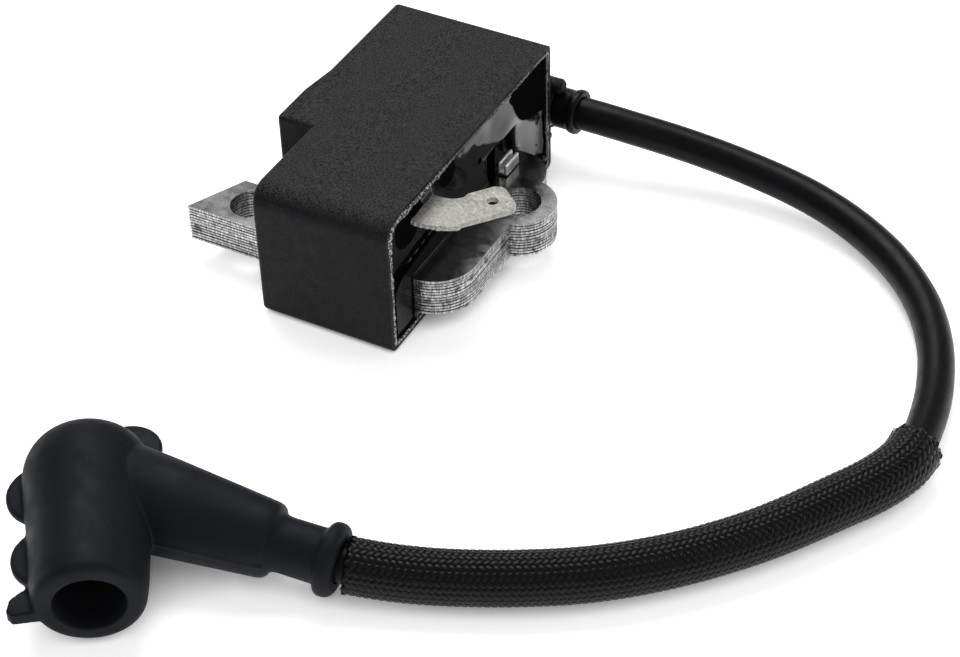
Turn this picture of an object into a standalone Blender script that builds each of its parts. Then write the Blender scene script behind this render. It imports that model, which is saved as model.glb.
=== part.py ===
"""Ignition coil of a small two-stroke engine, with its high-tension lead and plug boot.

Lengths are written in millimetres in the coil's own corner frame: X runs to the right from the
open face of the housing, Y runs back along the housing, Z runs up from its base. The function
place() turns them into metres about the middle of the module's base.
"""

import math

import bmesh
import bpy
from mathutils import Matrix, Vector

MM = 0.001
# The middle of the module's base, in the corner frame.
BASE_MIDDLE = (-14.1, 29.77)

# Moulded housing: a cup that opens to +X.
HOUSING_WIDTH = 22.8
HOUSING_LENGTH = 51.8
HOUSING_HEIGHT = 23.4
WALL = 1.35
FLOOR = 1.2
BUMP_X, BUMP_Y = -29.0, 17.5
REAR_X, REAR_Y = -28.1, 31.8
TOP_DRAFT = 0.022
REAR_DRAFT = 0.035
FRONT_ROUNDING = 3.2
TOWER_Y, TOWER_Z = 55.9, 8.8
TOWER_RADIUS = 3.65
TOWER_END_X = -0.6

# Laminated core.
LAMINATION_COUNT = 12
LAMINATION_PITCH = 0.533
LAMINATION_THICKNESS = 0.48
CORE_BOTTOM = 2.84
CORE_TOP = CORE_BOTTOM + (LAMINATION_COUNT - 1) * LAMINATION_PITCH + LAMINATION_THICKNESS
LEG_WIDTH = 9.4
FRONT_LEG_Y = 7.0
REAR_LEG_Y = 32.8
YOKE_INNER_X, YOKE_OUTER_X = -1.8, 6.75
EAR_X, EAR_Y, EAR_RADIUS = 5.4, 30.6, 5.76
LEFT_HOLE = (-31.1, 11.7)
SCREW_HOLE_RADIUS = 3.35

# Potting face, stop terminal and ground clip.
POTTING_FACE_X, POTTING_BACK_X = -0.5, -4.0
FIT = 0.3
TERMINAL_Z, TERMINAL_THICKNESS = 19.0, 0.8
TERMINAL_WIDTH = 6.3
TERMINAL_HOLE = (8.1, 17.0)
TERMINAL_ANGLE = math.radians(50)

# High-tension lead, sleeve and boot.
LEAD_RADIUS = 2.7
SLEEVE_RADIUS = 3.8
SLEEVE_WALL = 0.6
ELBOW = Vector((-18.2, -49.8, 9.05))
MOUTH = Vector((-6.1, -67.1, 7.73))
ARM_END = Vector((17.4, -44.0, 4.95))
DOME_RADIUS = 8.85
DOME_LENGTH = 7.9
MOUTH_RADIUS = 7.3
PLUG_BORE_RADIUS = 4.8
LEAD_BORE_RADIUS = 3.05
LEAD_END_FROM_ELBOW = 7.5

# The lead's centre line, from inside the tower to the mouth side of the boot's neck.
LEAD_ROUTE = [
    (-13.8, 55.9, 8.8), (-5, 55.9, 8.8), (4.0, 55.9, 8.8), (12, 56.9, 7.9), (22, 58.3, 6.4),
    (32, 58.6, 5.1), (42, 57.5, 4.1), (51, 54.5, 3.4), (59.5, 49.3, 3.0), (66.5, 42.2, 2.85),
    (71.5, 33.8, 2.85), (74.6, 25, 2.9), (76.2, 16.5, 3.4), (76.6, 8.5, 4.1),
    (74.6, 2.5, 4.1), (70.6, -4.2, 4.1), (64.3, -13.7, 4.1), (56.5, -22.6, 4.1),
    (47.8, -30.0, 4.1), (38.6, -35.6, 4.1), (29.2, -40.0, 4.1), (23.0, -42.35, 4.4),
]
SLEEVE_START_Y = 11.5
SLEEVE_END_X = 18.3


def clear_scene():
    for old in list(bpy.data.objects):
        bpy.data.objects.remove(old, do_unlink=True)


def place(x, y, z):
    return Vector(((x - BASE_MIDDLE[0]) * MM, (y - BASE_MIDDLE[1]) * MM, z * MM))


def collection(name):
    made = bpy.data.collections.new(name)
    bpy.context.scene.collection.children.link(made)
    return made


clear_scene()
PARTS = collection("ignition_coil")
CUTTERS = collection("cutters")


def material(name, colour, roughness, metallic=0.0):
    made = bpy.data.materials.new(name)
    made.use_nodes = True
    shader = made.node_tree.nodes["Principled BSDF"]
    shader.inputs["Base Color"].default_value = (*colour, 1.0)
    shader.inputs["Roughness"].default_value = roughness
    shader.inputs["Metallic"].default_value = metallic
    made.diffuse_color = (*colour, 1.0)
    return made


def finish(obj, look):
    """Puts a sub-part in the model's collection with its material."""
    for old in list(obj.users_collection):
        old.objects.unlink(obj)
    PARTS.objects.link(obj)
    obj.data.materials.clear()
    obj.data.materials.append(look)
    if obj.type == "MESH":
        obj.data.shade_smooth()
        obj.data.set_sharp_from_angle(angle=math.radians(35))
    return obj


def helper(obj):
    """Makes an object a hidden operand of a Boolean."""
    for old in list(obj.users_collection):
        old.objects.unlink(obj)
    CUTTERS.objects.link(obj)
    obj.hide_render = True
    obj.display_type = "WIRE"
    return obj


def boolean(obj, other, operation):
    modifier = obj.modifiers.new(operation.lower(), "BOOLEAN")
    modifier.operation = operation
    modifier.solver = "EXACT"
    modifier.object = helper(other)


def cut(obj, *cutters):
    for cutter in cutters:
        boolean(obj, cutter, "DIFFERENCE")


def join(obj, *others):
    for other in others:
        boolean(obj, other, "UNION")


def bevel(obj, width, segments=2):
    modifier = obj.modifiers.new("rounded", "BEVEL")
    modifier.width = width * MM
    modifier.segments = segments
    modifier.limit_method = "ANGLE"
    modifier.angle_limit = math.radians(40)


def mesh_object(name, mesh):
    obj = bpy.data.objects.new(name, mesh)
    PARTS.objects.link(obj)
    return obj


def box(name, low, high):
    """A box between two corners given in the corner frame."""
    low_m, high_m = place(*low), place(*high)
    bm = bmesh.new()
    bmesh.ops.create_cube(bm, size=1.0)
    bmesh.ops.scale(bm, vec=high_m - low_m, verts=bm.verts)
    mesh = bpy.data.meshes.new(name)
    bm.to_mesh(mesh)
    bm.free()
    obj = mesh_object(name, mesh)
    obj.location = (low_m + high_m) / 2
    return obj


def cylinder(name, start, end, radius, end_radius=None, sides=24):
    """A cylinder or cone between two points of the corner frame."""
    start_m, end_m = place(*start), place(*end)
    bm = bmesh.new()
    bmesh.ops.create_cone(
        bm, cap_ends=True, segments=sides, radius1=radius * MM,
        radius2=(radius if end_radius is None else end_radius) * MM, depth=(end_m - start_m).length,
    )
    mesh = bpy.data.meshes.new(name)
    bm.to_mesh(mesh)
    bm.free()
    obj = mesh_object(name, mesh)
    obj.location = (start_m + end_m) / 2
    obj.rotation_euler = (end_m - start_m).to_track_quat("Z", "Y").to_euler()
    return obj


def turned(name, profile, base, direction, steps=28):
    """A solid turned about direction through base; profile is (radius, height), top to bottom."""
    mesh = bpy.data.meshes.new(name)
    hollow = profile[0] == profile[-1]
    points = [(radius * MM, 0, height * MM) for radius, height in profile[:-1 if hollow else None]]
    edges = [(i, (i + 1) % len(points)) for i in range(len(points) if hollow else len(points) - 1)]
    mesh.from_pydata(points, edges, [])
    obj = mesh_object(name, mesh)
    obj.location = place(*base)
    obj.rotation_euler = Vector(direction).to_track_quat("Z", "Y").to_euler()
    screw = obj.modifiers.new("turned", "SCREW")
    screw.steps = screw.render_steps = steps
    screw.use_merge_vertices = True
    screw.merge_threshold = 0.00001
    return obj


def corner(x, y, radius, start_degrees, end_degrees, steps=6):
    """Points of an arc about (x, y)."""
    turn = (math.radians(end_degrees) - math.radians(start_degrees)) / steps
    angles = [math.radians(start_degrees) + turn * i for i in range(steps + 1)]
    return [(x + radius * math.cos(a), y + radius * math.sin(a)) for a in angles]


def rectangle(low_x, low_y, high_x, high_y, radius=0.0):
    if not radius:
        return [(low_x, low_y), (high_x, low_y), (high_x, high_y), (low_x, high_y)]
    return (
        corner(high_x - radius, low_y + radius, radius, -90, 0, 3)
        + corner(high_x - radius, high_y - radius, radius, 0, 90, 3)
        + corner(low_x + radius, high_y - radius, radius, 90, 180, 3)
        + corner(low_x + radius, low_y + radius, radius, 180, 270, 3)
    )


def flat_curve(name, outlines, thickness):
    """A 2D curve of closed outlines, filled and extruded both ways to a thickness."""
    data = bpy.data.curves.new(name, "CURVE")
    data.dimensions = "2D"
    data.fill_mode = "BOTH"
    data.extrude = thickness * MM / 2
    for outline in outlines:
        spline = data.splines.new("POLY")
        spline.points.add(len(outline) - 1)
        for point, (x, y) in zip(spline.points, outline):
            point.co = (x * MM, y * MM, 0, 1)
        spline.use_cyclic_u = True
    return data


def plate(name, outlines, low_z, high_z):
    """A flat plate lying in X and Y."""
    obj = bpy.data.objects.new(name, flat_curve(name, outlines, high_z - low_z))
    PARTS.objects.link(obj)
    obj.location = place(0, 0, (low_z + high_z) / 2)
    return obj


def standing_plate(name, outlines, low_x, high_x):
    """A plate whose outlines are in Y and Z and whose thickness runs along X."""
    obj = bpy.data.objects.new(name, flat_curve(name, outlines, high_x - low_x))
    PARTS.objects.link(obj)
    turn = Matrix(((0, 0, 1), (1, 0, 0), (0, 1, 0)))
    obj.rotation_euler = turn.to_euler()
    obj.location = place((low_x + high_x) / 2, 0, 0)
    return obj


def as_mesh(obj, close=True):
    """Replaces a curve by its mesh, with the loose caps welded."""
    bpy.context.view_layer.update()
    evaluated = obj.evaluated_get(bpy.context.evaluated_depsgraph_get())
    mesh = bpy.data.meshes.new_from_object(evaluated)
    name, matrix = obj.name, obj.matrix_world.copy()
    bpy.data.objects.remove(obj, do_unlink=True)
    bm = bmesh.new()
    bm.from_mesh(mesh)
    if close:
        bmesh.ops.remove_doubles(bm, verts=bm.verts, dist=0.000001)
    bmesh.ops.recalc_face_normals(bm, faces=bm.faces)
    bm.to_mesh(mesh)
    bm.free()
    made = mesh_object(name, mesh)
    made.matrix_world = matrix
    return made


def smooth_route(points, spacing):
    """Points about spacing apart on a Catmull-Rom curve through the given points."""
    points = [Vector(p) for p in points]
    ends = [2 * points[0] - points[1], *points, 2 * points[-1] - points[-2]]
    fine = []
    for a, b, c, d in zip(ends, ends[1:], ends[2:], ends[3:]):
        for step in range(20):
            t = step / 20
            fine.append(
                0.5 * (2 * b + (c - a) * t + (2 * a - 5 * b + 4 * c - d) * t**2
                       + (3 * b - a - 3 * c + d) * t**3)
            )
    fine.append(points[-1])
    length = sum((q - p).length for p, q in zip(fine, fine[1:]))
    count = max(2, round(length / spacing))
    kept, walked, target = [fine[0]], 0.0, length / count
    for p, q in zip(fine, fine[1:]):
        step = (q - p).length
        while walked + step >= target - 1e-6 and len(kept) < count:
            kept.append(p.lerp(q, (target - walked) / step))
            target += length / count
        walked += step
    return kept + [fine[-1]]


def tube(name, points, radius, resolution=2, caps=True):
    """A tube about a line of points, as a curve object."""
    data = bpy.data.curves.new(name, "CURVE")
    data.dimensions = "3D"
    data.bevel_depth = radius * MM
    data.bevel_resolution = resolution
    data.use_fill_caps = caps
    spline = data.splines.new("POLY")
    spline.points.add(len(points) - 1)
    for point, co in zip(spline.points, points):
        point.co = (*place(*co), 1)
    obj = bpy.data.objects.new(name, data)
    PARTS.objects.link(obj)
    return obj


# ---------------------------------------------------------------- housing and potting


def housing_block(name, inset, floor, open_x):
    """The housing's outer block, or with an inset its cavity, with its long edges rounded."""
    high_y, top = HOUSING_LENGTH - inset, HOUSING_HEIGHT - inset
    small, large = max(0.9 - inset, 0.3), FRONT_ROUNDING - inset
    outline = (
        corner(high_y - small, floor + small, small, -90, 0, 3)
        + corner(high_y - small, top - small, small, 0, 90, 3)
        + corner(inset + large, top - large, large, 90, 180, 6)
        + corner(inset + small, floor + small, small, 180, 270, 3)
    )
    block = as_mesh(standing_plate(name, [outline], BUMP_X + inset, open_x))
    for vert in block.data.vertices:
        place_in_world = block.matrix_world @ vert.co
        if place_in_world.z > HOUSING_HEIGHT * MM / 2:
            # The mesh's own Y axis is the world's Z axis, and its Z axis is the world's X axis.
            vert.co.y += TOP_DRAFT * (place_in_world.x - place(open_x, 0, 0).x)
        if place_in_world.y > place(0, HOUSING_LENGTH / 2, 0).y:
            vert.co.x -= REAR_DRAFT * (place_in_world.x - place(open_x, 0, 0).x)
    notch = box(f"{name}_notch", (-40, -5, -5), (-HOUSING_WIDTH + inset, BUMP_Y + inset, 30))
    step = as_mesh(plate(
        f"{name}_step",
        [[(-40, 25.6), (BUMP_X + inset, 25.6), (REAR_X + inset, REAR_Y), (REAR_X + inset, 60),
          (-40, 60)]],
        -5, 30,
    ))
    cut(block, notch, step)
    return block


def make_housing(look):
    housing = housing_block("housing", 0, 0, 0)
    tower_low = (-18.6, TOWER_Y, TOWER_Z)
    join(
        housing,
        cylinder("tower", tower_low, (TOWER_END_X, TOWER_Y, TOWER_Z), TOWER_RADIUS),
        box("tower_web", (-18.5, 50.9, 5.9), (-1.0, 54.2, 11.7)),
        cylinder("lug", (-7.0, 55.2, 13.3), (0.8, 55.2, 13.3), 1.3, sides=16),
        box("lug_web", (-6.9, 50.9, 11.4), (-1.3, 55.3, 14.0)),
    )
    cavity = housing_block("cavity", WALL, FLOOR, 4)
    cut(
        housing,
        cylinder("lug_hole", (-1.0, 55.2, 13.3), (4, 55.2, 13.3), 0.6, sides=12),
        cavity,
        cylinder("lead_bore", (-17.2, TOWER_Y, TOWER_Z), (4, TOWER_Y, TOWER_Z), LEAD_RADIUS + FIT),
        cylinder("pin_hole", (-15.6, 47, TOWER_Z), (-15.6, 56, TOWER_Z), 0.8, sides=12),
        box("front_leg_slot", (-24.5, FRONT_LEG_Y - FIT, CORE_BOTTOM - FIT),
            (-20.5, FRONT_LEG_Y + LEG_WIDTH + FIT, CORE_TOP + FIT)),
        box("rear_leg_slot", (-30, REAR_LEG_Y - FIT, CORE_BOTTOM - FIT),
            (-25, REAR_LEG_Y + LEG_WIDTH + FIT, CORE_TOP + FIT)),
    )
    return finish(housing, look)


def flange_outline(grow=0.0):
    """The coil bobbin's outer flange, in Y and Z: its upper front corner is cut off."""
    return [
        (2.2 - grow, 1.5 - grow), (20.6 + grow, 1.5 - grow), (20.6 + grow, 12.6 + grow),
        (13.4, 12.2 + grow), (4.0 - grow, 11.0 + grow), (2.2 - grow, 9.6 + grow),
    ]


def make_potting(look):
    """The resin layer that closes the housing's open side, with a way for all that leaves it."""
    gap = 0.15
    resin = as_mesh(standing_plate(
        "potting_resin",
        [rectangle(WALL + gap, FLOOR + gap, HOUSING_LENGTH - WALL - gap,
                   HOUSING_HEIGHT - WALL - 2.5 * gap, 1.7)],
        POTTING_BACK_X, POTTING_FACE_X,
    ))
    leg_low, leg_high = CORE_BOTTOM - FIT, CORE_TOP + FIT
    flange_hole = as_mesh(standing_plate("flange_hole", [flange_outline(0.15)], -6, 1))
    rear_end = REAR_LEG_Y + LEG_WIDTH
    cut(
        resin,
        flange_hole,
        box("yoke_pocket", (YOKE_INNER_X - FIT, 19, leg_low), (1, rear_end + FIT, leg_high)),
        box("rear_leg_way", (-6, REAR_LEG_Y - FIT, leg_low), (-1, rear_end + FIT, leg_high)),
        box("clip_pocket", (-6, 32.4, CORE_TOP - 0.5), (1, 42.2, 14.3)),
        box("terminal_way", (-6, 7.3, TERMINAL_Z - 0.7), (1, 15.0, TERMINAL_Z + 0.7)),
    )
    return finish(resin, look)


# ---------------------------------------------------------------- core


def circle(centre, radius, steps=20):
    return corner(*centre, radius, 0, 360 - 360 / steps, steps - 1)


def core_outline():
    """A lamination: two legs, the yoke with its front and back lobes, and the screw ear."""
    rear_end = REAR_LEG_Y + LEG_WIDTH
    front_end = FRONT_LEG_Y + LEG_WIDTH
    # The ear is a circle that the lobes meet at a sharp inner corner.
    low = math.degrees(math.asin((YOKE_OUTER_X - EAR_X) / EAR_RADIUS)) - 90
    high = 90 - math.degrees(math.asin((6.4 - EAR_X) / EAR_RADIUS))
    return (
        [(-39.8, FRONT_LEG_Y)]
        + corner(0, FRONT_LEG_Y + 6.75, 6.75, -90, 0)
        + corner(EAR_X, EAR_Y, EAR_RADIUS, low, high, 14)
        + corner(0.65, rear_end - 5.75, 5.75, 0, 90)
        + [(-36.4, rear_end), (-32.0, REAR_LEG_Y), (YOKE_INNER_X, REAR_LEG_Y)]
        + [(YOKE_INNER_X, front_end), (-35.2, front_end)]
    )


def make_core(look):
    data = flat_curve(
        "lamination",
        [core_outline(), circle((EAR_X, EAR_Y), SCREW_HOLE_RADIUS),
         circle(LEFT_HOLE, SCREW_HOLE_RADIUS)],
        LAMINATION_THICKNESS,
    )
    for index in range(LAMINATION_COUNT):
        lamination = bpy.data.objects.new(f"core_lamination_{index + 1:02d}", data)
        height = CORE_BOTTOM + LAMINATION_THICKNESS / 2 + index * LAMINATION_PITCH
        lamination.location = place(0, 0, height)
        finish(lamination, look)


# ---------------------------------------------------------------- coil and electronics


def around_leg(leg_y, grow):
    """A rectangle in Y and Z that lies grow outside a leg of the core."""
    return (leg_y - grow, CORE_BOTTOM - grow, leg_y + LEG_WIDTH + grow, CORE_TOP + grow)


def ring(name, inner, outer, low_x, high_x, look, inner_radius=0.0, outer_radius=0.8):
    """A ring about a leg, given by its inner and outer rectangles."""
    outlines = [rectangle(*outer, outer_radius), rectangle(*inner, inner_radius)]
    return finish(as_mesh(standing_plate(name, outlines, low_x, high_x)), look)


def spool(name, leg_y, grow, wall, ends, low_x, high_x, look):
    """A bobbin: a tube about a leg with an end plate, ends being the plate's rectangle."""
    tube_part = as_mesh(standing_plate(
        name, [rectangle(*around_leg(leg_y, grow + wall))], low_x, high_x
    ))
    plates = [
        as_mesh(standing_plate(f"{name}_plate", [rectangle(*ends, 0.8)], start, start + 0.7))
        for start in (low_x - 0.01, high_x - 0.69)
    ]
    join(tube_part, *plates)
    bore = as_mesh(standing_plate(
        f"{name}_bore", [rectangle(*around_leg(leg_y, grow))], low_x - 2, high_x + 2
    ))
    cut(tube_part, bore)
    return finish(tube_part, look)


def make_coil(plastic, copper, enamel):
    """The ignition coil proper, on the core's front leg."""
    bobbin = as_mesh(standing_plate(
        "coil_bobbin", [rectangle(*around_leg(FRONT_LEG_Y, 0.47))], -20.9, -1.0
    ))
    join(
        bobbin,
        as_mesh(standing_plate("coil_flange", [flange_outline()], -4.3, -0.3)),
        as_mesh(standing_plate("coil_inner_plate", [rectangle(4.8, 1.5, 18.6, 10.9, 0.8)],
                               -20.91, -20.1)),
    )
    bore = as_mesh(standing_plate(
        "coil_bore", [rectangle(*around_leg(FRONT_LEG_Y, 0.12))], -22, 1
    ))
    yoke = box("coil_yoke_way", (YOKE_INNER_X - FIT, 12, CORE_BOTTOM - 0.12),
               (1, 25, CORE_TOP + 0.12))
    cut(bobbin, bore, yoke)
    finish(bobbin, plastic)
    ring("primary_winding", around_leg(FRONT_LEG_Y, 0.53), around_leg(FRONT_LEG_Y, 0.88),
         -19.9, -4.6, copper, outer_radius=0.3)
    plates = (3.2, 1.35, 20.2, 11.2)
    spool("secondary_bobbin", FRONT_LEG_Y, 0.93, 0.2, plates, -19.7, -4.8, plastic)
    ring("secondary_winding", around_leg(FRONT_LEG_Y, 1.18), (3.4, 1.4, 20.0, 11.0),
         -18.9, -5.6, enamel)


def make_charge_coil(plastic, copper):
    """The charging and trigger winding, on the core's rear leg."""
    plates = (31.2, 1.4, 44.0, 11.0)
    spool("charge_coil_bobbin", REAR_LEG_Y, 0.12, 0.35, plates, -20.0, -7.0, plastic)
    ring("charge_coil_winding", around_leg(REAR_LEG_Y, 0.53), around_leg(REAR_LEG_Y, 1.2),
         -19.2, -7.8, copper, outer_radius=0.5)


BOARD_Z = 12.2
BOARD_TOP = BOARD_Z + 1.2
SEAT = BOARD_TOP + FIT


def make_electronics(board_look, chip_look, film_look, metal):
    finish(box("circuit_board", (-20.6, 2.4, BOARD_Z), (-4.9, 49.2, BOARD_TOP)), board_look)
    capacitor = box("film_capacitor", (-19.4, 30.5, SEAT), (-8.0, 45.5, 20.6))
    bevel(capacitor, 0.8)
    finish(capacitor, film_look)
    thyristor = as_mesh(plate(
        "switching_thyristor", [corner(-16.4, 8.4, 2.4, 35, 325, 10)], SEAT, SEAT + 4.6
    ))
    finish(thyristor, chip_look)
    chip = box("control_chip", (-18.4, 18.0, SEAT), (-14.4, 23.6, SEAT + 1.5))
    bevel(chip, 0.2, 1)
    finish(chip, chip_look)
    for index in range(2):
        y = 18.6 + 3.6 * index
        diode = cylinder(
            f"rectifier_diode_{index + 1}", (-12.0, y, SEAT + 1.2), (-6.8, y, SEAT + 1.2), 1.15,
            sides=16,
        )
        finish(diode, chip_look)
    leaded = cylinder("resistor", (-13.6, 4.6, SEAT + 1.1), (-8.2, 4.6, SEAT + 1.1), 1.05, sides=16)
    finish(leaded, film_look)
    # A pin from the secondary winding through the back wall to the end of the lead's conductor.
    route = [(-15.6, 46.2, TOWER_Z), (-15.6, 50, TOWER_Z), (-15.6, 55.3, TOWER_Z),
             (-15.3, 55.8, TOWER_Z), (-14.2, TOWER_Y, TOWER_Z)]
    finish(tube("ht_contact_pin", route, 0.45), metal)


# ---------------------------------------------------------------- terminal and clip


def terminal_outline():
    """The stop terminal: a root that widens into the potting and a straight blade."""
    along = Vector((math.cos(TERMINAL_ANGLE), math.sin(TERMINAL_ANGLE)))
    across = Vector((-along.y, along.x))
    hole = Vector(TERMINAL_HOLE)
    half, tip, chamfer = TERMINAL_WIDTH / 2, 2.9, 1.2

    def blade(forward, sideways):
        return tuple(hole + along * forward + across * sideways)

    return (
        [(-7.4, 7.7), (1.6, 7.6), (3.4, 7.85), (4.8, 8.7)]
        + [blade(-7.2, -half - 0.3), blade(-6.2, -half)]
        + [blade(tip - chamfer, -half), blade(tip, -half + chamfer)]
        + [blade(tip, half - chamfer), blade(tip - chamfer, half)]
        + [blade(-2.6, half), (3.9, 16.0), (2.5, 14.9), (1.0, 14.6), (-7.4, 14.6)]
    )


def make_terminal(look):
    half = TERMINAL_THICKNESS / 2
    terminal = as_mesh(plate(
        "stop_terminal", [terminal_outline(), circle(TERMINAL_HOLE, 0.9, 14)],
        TERMINAL_Z - half, TERMINAL_Z + half,
    ))
    foot = box("terminal_foot", (-7.4, 9.2, SEAT), (-6.6, 13.2, TERMINAL_Z + half - 0.1))
    join(terminal, foot)
    return finish(terminal, look)


def make_clip(look):
    """A U-shaped strip that earths the electronics to the core."""
    low, high = CORE_TOP + 0.3, CORE_TOP + 2.5
    clip = box("ground_clip", (-0.7, 34.9, low), (1.0, 39.1, high))
    bevel(clip, 0.2, 1)
    cut(clip, box("clip_groove", (-0.2, 30, low + 0.5), (0.5, 45, high + 2)))
    join(clip, box("clip_tongue", (-6.0, 35.6, low + 0.05), (-0.4, 37.8, low + 0.45)))
    return finish(clip, look)


# ---------------------------------------------------------------- lead, sleeve and boot


def on_arm(distance):
    """A point on the boot's arm, at a distance from its elbow."""
    return ELBOW + (ARM_END - ELBOW).normalized() * distance


def on_body(distance, sideways=0.0, up=0.0):
    """A point of the boot's body: along it from the elbow, to its left, and above its axis."""
    along = (MOUTH - ELBOW).normalized()
    left = Vector((0, 0, 1)).cross(along).normalized() * -1
    return ELBOW + along * distance + left * sideways + along.cross(left) * -up


def lead_points(spacing):
    arm_length = (ARM_END - ELBOW).length
    inside = [on_arm(d) for d in (arm_length + 1.6, arm_length - 8, 18, LEAD_END_FROM_ELBOW)]
    return smooth_route([*LEAD_ROUTE, *inside], spacing)


def make_lead(jacket, braid, rubber):
    finish(tube("ht_lead", lead_points(4 * LEAD_RADIUS), LEAD_RADIUS, 3), jacket)
    # The sleeve covers the part of the route between its two cut ends.
    fine = lead_points(1.0)
    covered = [p for p in fine if p.y < SLEEVE_START_Y and p.x > SLEEVE_END_X]
    sleeve_points = smooth_route(covered[::6] + covered[-1:], 2.6 * SLEEVE_RADIUS)
    sleeve = as_mesh(tube("braided_sleeve", sleeve_points, SLEEVE_RADIUS, 4, caps=False))
    thick = sleeve.modifiers.new("braid", "SOLIDIFY")
    thick.thickness = SLEEVE_WALL * MM
    thick.offset = -1
    thick.use_even_offset = True
    finish(sleeve, braid)
    inner = LEAD_RADIUS + 0.35
    seal = turned(
        "lead_seal",
        [(inner, 3.6), (3.45, 3.6), (3.65, 3.4), (3.65, 2.3), (3.3, 2.0), (3.3, -0.3),
         (inner, -0.3), (inner, 3.6)],
        (0, TOWER_Y, TOWER_Z), (1, 0, 0), 24,
    )
    finish(seal, rubber)


def half_disc(name, centre, flat_normal, radius, thickness):
    """A grip fin of the boot: a disc whose inner half lies in the boot."""
    side = Vector(flat_normal).normalized() * thickness / 2
    return cylinder(name, Vector(centre) - side, Vector(centre) + side, radius, sides=20)


def make_boot(rubber):
    arm_length = (ARM_END - ELBOW).length
    body_length = (MOUTH - ELBOW).length
    along = (MOUTH - ELBOW).normalized()
    dome = [(0, DOME_LENGTH)] + [
        (DOME_RADIUS * math.sin(math.radians(a)) ** 0.8, DOME_LENGTH * math.cos(math.radians(a)) ** 0.85)
        for a in range(15, 90, 15)
    ] + [(DOME_RADIUS, 0)]
    body_profile = dome + [
        (8.3, -7), (7.65, -body_length + 2.6), (MOUTH_RADIUS, -body_length + 1.2),
        (MOUTH_RADIUS - 0.5, -body_length + 0.3), (MOUTH_RADIUS - 1.2, -body_length),
        (0, -body_length),
    ]
    boot = turned("plug_boot", body_profile, ELBOW, -along, 28)
    shoulder = 27.0
    arm_profile = [
        (0, arm_length), (4.4, arm_length), (4.95, arm_length - 0.5), (5.1, arm_length - 1.3),
        (4.95, arm_length - 2.1), (4.2, arm_length - 2.9), (3.95, shoulder + 1.2),
        (4.75, shoulder), (5.2, shoulder - 1.2), (7.65, 0), (0, 0),
    ]
    arm = turned("boot_arm", arm_profile, ELBOW, ARM_END - ELBOW, 28)
    up = on_body(0, up=1) - ELBOW
    arm_side = Vector((0, 0, 1)).cross(ARM_END - ELBOW).normalized()
    fins = [
        half_disc("fin_1", on_body(1.5, 5.8), up, 5.2, 1.5),
        half_disc("fin_2", on_body(12.7, 5.2), up, 5.0, 1.5),
        half_disc("fin_3", on_arm(2.6) + arm_side * 7.1 + Vector((0, 0, 0.4)), (0, 0, 1), 4.6, 1.5),
    ]
    tab = as_mesh(pull_tab(body_length))
    join(boot, arm, *fins, tab)
    lead_way = cylinder("lead_way", on_arm(0.5), on_arm(arm_length + 2), LEAD_BORE_RADIUS)
    plug_way = cylinder("plug_way", on_body(-3.0), on_body(body_length + 2), PLUG_BORE_RADIUS)
    cut(boot, lead_way, plug_way)
    return finish(boot, rubber)


def pull_tab(body_length):
    """The pull tab beside the boot's mouth, a little below the body's axis."""
    outline = [(4.5, body_length - 5.8), (7.4, body_length - 4.9), (9.0, body_length - 4.0),
               (10.4, body_length - 2.8), (10.8, body_length - 1.0), (10.1, body_length - 0.2),
               (4.5, body_length - 0.3)]
    tab = bpy.data.objects.new("pull_tab", flat_curve("pull_tab", [outline], 2.0))
    PARTS.objects.link(tab)
    left = (on_body(0, 1) - ELBOW).normalized()
    along = (MOUTH - ELBOW).normalized()
    turn = Matrix((left, along, left.cross(along))).transposed()
    tab.rotation_euler = turn.to_euler()
    tab.location = place(*on_body(0, up=-1.6))
    return tab


def make_contact_spring(metal):
    """The wire spring that the plug's terminal pushes into; its leg meets the lead's end."""
    along = (MOUTH - ELBOW).normalized()
    left = (on_body(0, 1) - ELBOW).normalized()
    up = along.cross(left)
    radius, turns, steps = 3.6, 3.5, 12
    coil = []
    for i in range(int(turns * steps) + 1):
        angle = 2 * math.pi * i / steps
        lift = 0.4 + 1.25 * i / steps
        coil.append(ELBOW + along * lift + (left * -math.cos(angle) + up * math.sin(angle)) * radius)
    leg = [on_arm(6.9), on_arm(5.4)]
    points = leg + [coil[0] * 0.7 + on_arm(4.4) * 0.3] + coil
    return finish(tube("boot_contact_spring", points, 0.45), metal)


def turn_with(*pieces):
    """Hangs the boot's pieces on an empty on the lead's axis, about which the boot turns."""
    pivot = bpy.data.objects.new("boot_pivot", None)
    PARTS.objects.link(pivot)
    pivot.location = place(*ARM_END)
    pivot.rotation_euler = (ELBOW - ARM_END).to_track_quat("Z", "Y").to_euler()
    bpy.context.view_layer.update()
    for piece in pieces:
        piece.parent = pivot
        piece.matrix_parent_inverse = pivot.matrix_world.inverted()


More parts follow.
